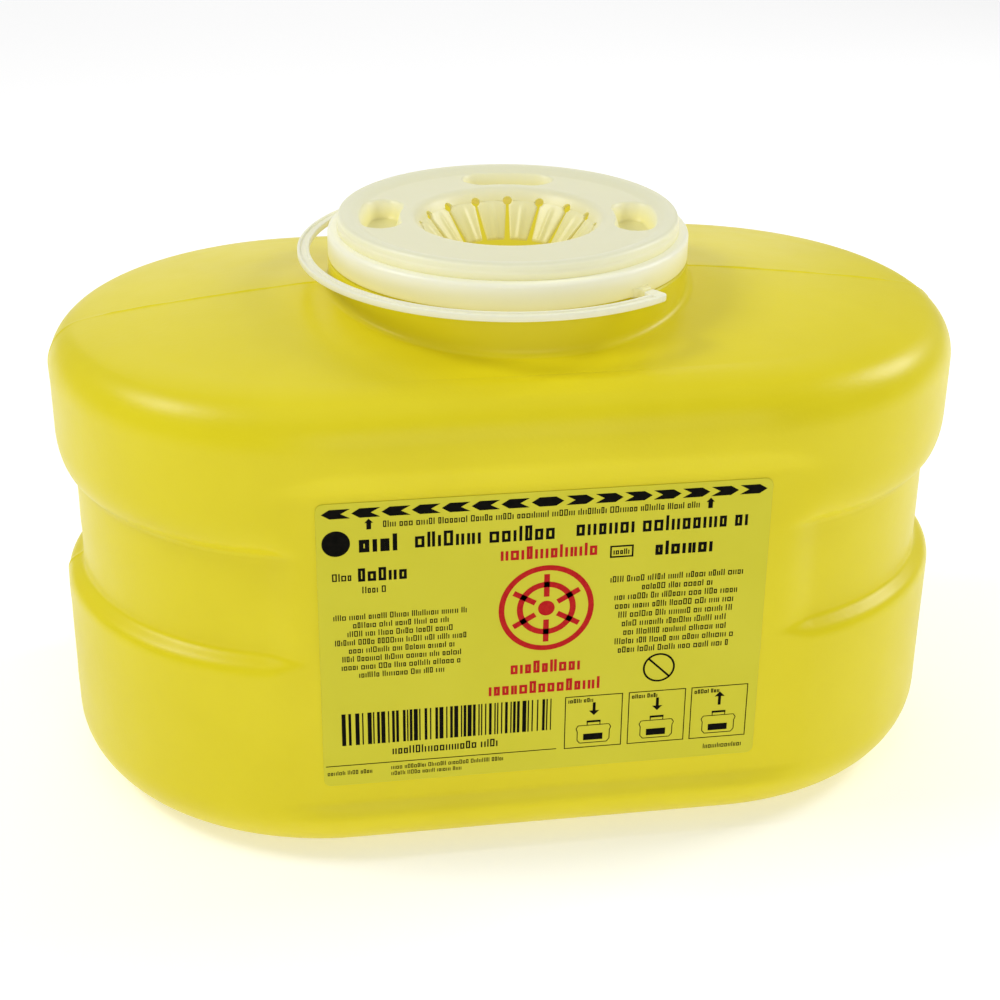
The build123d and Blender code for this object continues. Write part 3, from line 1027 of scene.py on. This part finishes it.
# ---------------------------------------------------------------- label
class Ink:
    """Flat printed shapes on the label, gathered into one mesh. Label millimetres: x from the
    middle, y up from the lower edge."""

    def __init__(self):
        self.points = []
        self.faces = []

    def shape(self, outline):
        """A filled convex or simple outline, in order."""
        start = len(self.points)
        self.points += [(float(x), float(y)) for x, y in outline]
        self.faces.append(list(range(start, len(self.points))))

    def bar(self, x0, y0, x1, y1):
        """A filled rectangle."""
        self.shape([(x0, y0), (x1, y0), (x1, y1), (x0, y1)])

    def frame(self, x0, y0, x1, y1, width):
        """A rectangle's outline."""
        self.bar(x0, y0, x1, y0 + width)
        self.bar(x0, y1 - width, x1, y1)
        self.bar(x0, y0 + width, x0 + width, y1 - width)
        self.bar(x1 - width, y0 + width, x1, y1 - width)

    def disc(self, x, y, r, steps=40):
        """A filled circle."""
        self.shape([(x + r * cos(a), y + r * sin(a)) for a in np.linspace(0, 2 * pi, steps, endpoint=False)])

    def ring(self, x, y, outer, inner, steps=56):
        """A circle's outline, as short quads."""
        angles = np.linspace(0, 2 * pi, steps + 1)
        for a, b in zip(angles[:-1], angles[1:]):
            self.shape(
                [
                    (x + outer * cos(a), y + outer * sin(a)),
                    (x + outer * cos(b), y + outer * sin(b)),
                    (x + inner * cos(b), y + inner * sin(b)),
                    (x + inner * cos(a), y + inner * sin(a)),
                ]
            )

    def stroke(self, x0, y0, x1, y1, width):
        """A straight line of a given width."""
        run = hypot(x1 - x0, y1 - y0)
        sx = -(y1 - y0) / run * width / 2
        sy = (x1 - x0) / run * width / 2
        self.shape([(x0 + sx, y0 + sy), (x1 + sx, y1 + sy), (x1 - sx, y1 - sy), (x0 - sx, y0 - sy)])

    def word(self, x, end, y, height, weight, chance):
        """One word of stand-in print: posts, pairs of posts and empty boxes. Returns where it ends."""
        stroke = height * weight
        while x + stroke <= end:
            wide = height * chance.uniform(0.42, 0.58)
            top = y + height * chance.choice([1.0, 0.74, 0.74])
            kind = chance.integers(4)
            if kind == 0 or x + wide > end:
                self.bar(x, y, x + stroke, top)
                wide = stroke
            elif kind == 1:
                self.bar(x, y, x + stroke, top)
                self.bar(x + wide - stroke, y, x + wide, top)
            else:
                self.frame(x, y, x + wide, top, stroke)
            x += wide + height * 0.17
        return x

    def words(self, x0, x1, y, height, seed, word=(3.0, 8.0), weight=0.16):
        """A line of print that spells nothing, in words of the given lengths."""
        chance = np.random.default_rng(seed)
        x = x0
        while x < x1 - height * 0.3:
            x = self.word(x, min(x + chance.uniform(*word), x1), y, height, weight, chance) + height * 0.35

    def build(self, name, material):
        """The gathered shapes as one object just proud of the label."""
        flat = np.array(self.points)
        y = np.full(len(flat), LABEL_FACE_Y - INK_LIFT)
        points = np.stack([LABEL_X + flat[:, 0], y, LABEL_LOW[2] + flat[:, 1]], 1)
        piece = make_object(name, points, self.faces, material, "container", smooth=False)
        for polygon in piece.data.polygons:
            if polygon.normal.y > 0:
                polygon.flip()
        return piece


def arrow_band(ink, y0, y1):
    """The fill line: notched arrows pointing out both ways from a double-headed one."""
    mid = (y0 + y1) / 2
    inner = DOUBLE_ARROW_HALF + 0.2
    pitch = (LABEL_W / 2 - 1.5 - inner) / ARROWS_PER_SIDE
    notch = (y1 - y0) * 0.80
    for side in (-1, 1):
        for index in range(ARROWS_PER_SIDE):
            tail = side * (inner + ARROW_GAP + index * pitch)
            head = side * (inner + (index + 1) * pitch)
            neck = head - side * notch
            dent = tail + side * notch * 1.15
            ink.shape([(tail, y1), (neck, y1), (head, mid), (dent, mid)])
            ink.shape([(dent, mid), (head, mid), (neck, y0), (tail, y0)])
    half = DOUBLE_ARROW_HALF
    neck = half - notch
    ink.shape([(-half, mid), (-neck, y0), (neck, y0), (half, mid), (neck, y1), (-neck, y1)])


def paragraph(ink, middle, top, bottom, widths, seed):
    """Centred lines of small print, one of each width."""
    pitch = (top - bottom) / len(widths)
    for index, width in enumerate(widths):
        y = top - pitch * (index + 0.84)
        ink.words(middle - width / 2, middle + width / 2, y, pitch * 0.68, seed + index, (2.4, 7.0))


def stripes(ink, x0, x1, y0, y1, seed):
    """A block of upright stripes that encodes nothing."""
    chance = np.random.default_rng(seed)
    unit = 0.36
    x = x0
    while x < x1:
        width = unit * chance.choice([1, 1, 2, 3])
        ink.bar(x, y0, min(x + width, x1), y1)
        x += width + unit * chance.choice([1, 1, 2, 2, 3])


def little_container(ink, x, y, s):
    """A small outline picture of the container: body, waist and cap."""
    side_run = [(4.6, 3.6), (5.2, 2.6), (4.8, 1.6), (4.8, -1.4), (4.0, -2.4)]
    lines = [*zip(side_run[:-1], side_run[1:]), ((1.9, 3.6), (1.9, 4.8))]
    ink.stroke(x - 4.6 * s, y + 3.6 * s, x + 4.6 * s, y + 3.6 * s, 0.22)
    for side in (-1, 1):
        for (x0, y0), (x1, y1) in lines:
            ink.stroke(x + side * x0 * s, y + y0 * s, x + side * x1 * s, y + y1 * s, 0.24)
    ink.stroke(x - 4.0 * s, y - 2.4 * s, x + 4.0 * s, y - 2.4 * s, 0.24)
    ink.bar(x - 2.1 * s, y + 4.5 * s, x + 2.1 * s, y + 5.2 * s)
    ink.bar(x - 3.0 * s, y - 1.5 * s, x + 2.8 * s, y + 0.7 * s)


def picture_frames(ink):
    """Three small instruction pictures: drop in, press shut, lift."""
    for index, left in enumerate(FRAME_LEFTS):
        ink.frame(left, FRAME_LOW, left + FRAME_W, FRAME_HIGH, 0.26)
        middle = left + 8.0
        little_container(ink, middle, 9.6, 0.92)
        ink.words(left + 0.9, left + 8.0, 20.2, 1.3, 60 + index, (3.0, 5.0), 0.2)
        tip = 16.0 if index < 2 else 20.4
        tail = 20.0 if index < 2 else 16.2
        toward = 1.5 if tip < tail else -1.5
        ink.stroke(middle, tail, middle, tip + toward, 0.8)
        ink.shape([(middle, tip), (middle + 1.4, tip + toward), (middle - 1.4, tip + toward)])


def emblem(ink, x, y):
    """A plain round emblem: two rings, a hub and six spokes."""
    for outer, inner in EMBLEM_RINGS:
        ink.ring(x, y, outer, inner)
    ink.disc(x, y, EMBLEM_HUB_R)
    for index in range(SPOKES):
        angle = (index + 0.5) * 2 * pi / SPOKES
        ends = [(x + r * cos(angle), y + r * sin(angle)) for r in (SPOKE_IN_R, SPOKE_OUT_R)]
        ink.stroke(*ends[0], *ends[1], SPOKE_W)


def build_label():
    """The label film and its two inks."""
    half_w = LABEL_W / 2
    corner = LABEL_CORNER
    rim = []
    for quarter, (sx, sy) in enumerate(((1, 1), (-1, 1), (-1, -1), (1, -1))):
        for step in range(9):
            angle = (quarter + step / 8) * pi / 2
            x = sx * (half_w - corner) + corner * cos(angle)
            y = sy * (LABEL_H / 2 - corner) + corner * sin(angle)
            rim.append((x + LABEL_X, y + LABEL_H / 2))
    rim = np.array(rim)
    count = len(rim)
    rows = []
    middle = np.array((LABEL_X, LABEL_H / 2))
    face = LABEL_FACE_Y
    for y, shrink in ((LABEL_HIGH[1], 0), (face + 0.08, 0), (face, 0.15), (face, 1.2)):
        plan = (rim - middle) * (1 - shrink / half_w) + middle
        rows.append(np.stack([plan[:, 0], np.full(count, y), LABEL_LOW[2] + plan[:, 1]], 1))
    faces = capped_faces(len(rows), count)
    points = np.concatenate(rows)
    film = make_object("label_film", points, faces, LABEL, "container", smooth=False)
    face_outwards(film)
    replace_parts(film, "front_label")

    print_black()
    print_red()


def print_black():
    """The black print. Each line is given by its left end, right end, foot and letter height."""
    black = Ink()
    arrow_band(black, 79.4, 82.0)
    for x in (-45.6, 42.6):
        black.shape([(x, 79.0), (x - 1.1, 77.8), (x + 1.1, 77.8)])
        black.bar(x - 0.6, 76.0, x + 0.6, 77.8)
    black.words(-42.0, 39.8, 76.4, 1.8, 3, (3.0, 9.0))
    black.disc(-54.0, 72.4, 3.6)
    black.words(-48.2, -37.4, 69.6, 4.8, 5, (11, 12), 0.24)
    black.words(-34.0, 2.0, 70.0, 4.3, 7, (14.0, 20.0), 0.18)
    black.words(7.6, 53.8, 70.4, 4.3, 11, (15.0, 25.0), 0.18)
    black.words(-55.2, -49.6, 61.7, 2.2, 13, (6, 7))
    black.words(-48.6, -35.6, 61.3, 3.8, 14, (13, 14), 0.20)
    black.words(-47.6, -41.2, 57.9, 1.9, 15, (3.5, 5.0))
    paragraph(black, -37.7, 52.4, 32.6, (35.0, 25.0, 28.0, 34.5, 27.5, 31.0, 31.5, 22.5), 20)
    paragraph(black, 35.0, 58.4, 34.4, (36.0, 19.0, 33.5, 33.0, 31.0, 29.0, 28.0, 32.5, 30.5), 30)
    black.frame(16.6, 63.4, 22.8, 66.9, 0.45)
    black.words(17.5, 22.0, 64.3, 1.6, 41, (4.2, 5), 0.2)
    black.words(28.6, 44.6, 63.4, 4.0, 42, (20, 21), 0.22)
    black.ring(31.2, 29.4, 4.4, 3.85)
    black.stroke(28.2, 32.4, 34.2, 26.4, 0.55)
    stripes(black, -53.9, 2.2, 12.4, 22.2, 50)
    black.words(-40.6, -11.0, 8.6, 2.4, 51, (4.0, 24.0))
    black.words(-58.0, -46.0, 3.3, 1.3, 52, (3.0, 6.0))
    black.words(-41.0, -10.5, 3.9, 1.3, 53, (3.0, 7.0))
    black.words(-41.0, -22.0, 2.0, 1.3, 54, (3.0, 7.0))
    black.bar(-58.4, 6.1, 3.8, 6.35)
    black.words(44.8, 55.6, 2.5, 1.5, 55, (11, 12))
    picture_frames(black)
    black.build("label_ink_black", BLACK)


def print_red():
    """The red emblem and its three lines."""
    red = Ink()
    red.words(-12.0, 13.2, 64.6, 3.7, 70, (26, 27), 0.2)
    emblem(red, 0.2, 49.9)
    red.words(-9.0, 10.0, 30.6, 3.7, 71, (28, 29), 0.2)
    red.words(-14.8, 16.0, 24.4, 3.7, 72, (32, 33), 0.2)
    red.build("label_ink_red", RED)


# ---------------------------------------------------------------- stage, light and camera
def build_stage():
    """A plain pale floor and an even, bright studio."""
    mesh = bpy.data.meshes.new("floor")
    corners = [(x * FLOOR_REACH, y * FLOOR_REACH, 0) for x, y in ((-1, -1), (1, -1), (1, 1), (-1, 1))]
    mesh.from_pydata(corners, [], [(0, 1, 2, 3)])
    floor = bpy.data.objects.new("floor", mesh)
    bpy.context.scene.collection.objects.link(floor)
    material, _, shader = new_material("floor")
    set_inputs(
        shader,
        {
            "Base Color": (0.86, 0.86, 0.86, 1),
            "Emission Color": (1, 1, 1, 1),
            "Emission Strength": 0.35,
            "Roughness": 0.9,
            "Specular IOR Level": 0.1,
        },
    )
    mesh.materials.append(material)
    world = bpy.data.worlds.new("studio")
    world.use_nodes = True
    set_inputs(world.node_tree.nodes["Background"], {"Color": (1, 1, 1, 1), "Strength": 0.31})
    bpy.context.scene.world = world


def area_light(name, place, aim, size, power):
    """A square softbox that faces a point."""
    data = bpy.data.lights.new(name, "AREA")
    data.shape = "SQUARE"
    data.size = size
    data.energy = power
    light = bpy.data.objects.new(name, data)
    light.location = place
    light.rotation_euler = (Vector(aim) - Vector(place)).to_track_quat("-Z", "Y").to_euler()
    bpy.context.scene.collection.objects.link(light)


def build_lights():
    """An overhead softbox, a softbox high on each side, and weak fills behind and in front."""
    aim = (0, 0, 0.09)
    area_light("overhead", (-0.10, -0.05, 1.25), aim, 1.0, 1.4)
    area_light("left_box", (-0.85, 0.05, 0.98), aim, 0.36, 5.8)
    area_light("right_box", (0.98, 0.20, 0.76), aim, 0.36, 5.2)
    area_light("rear_glow", (0.0, 1.6, 0.75), aim, 1.6, 4.5)
    area_light("front_fill", (0.1, -1.5, 0.6), aim, 1.0, 5.0)


def build_camera():
    """A camera at the photographed angle, slightly left of the front and above."""
    azimuth = radians(CAMERA_AZIMUTH)
    elevation = radians(CAMERA_ELEVATION)
    roll = radians(CAMERA_ROLL)
    back = Vector((sin(azimuth) * cos(elevation), -cos(azimuth) * cos(elevation), sin(elevation)))
    right = Vector((cos(azimuth), sin(azimuth), 0))
    up = back.cross(right)
    across = right * cos(roll) + up * sin(roll)
    upright = up * cos(roll) - right * sin(roll)
    data = bpy.data.cameras.new("camera")
    data.sensor_width = 36
    data.lens = CAMERA_LENS
    data.clip_start = 0.01
    data.clip_end = 50
    camera = bpy.data.objects.new("camera", data)
    place = (Vector(CAMERA_TARGET) + back * CAMERA_DISTANCE) * MM
    camera.matrix_world = Matrix.Translation(place) @ Matrix((across, upright, back)).transposed().to_4x4()
    bpy.context.scene.collection.objects.link(camera)
    bpy.context.scene.camera = camera


build_bottle()
build_collar()
build_disc()
build_petals()
build_handle()
build_label()
build_stage()
build_lights()
build_camera()
bpy.context.scene.view_settings.view_transform = "Standard"
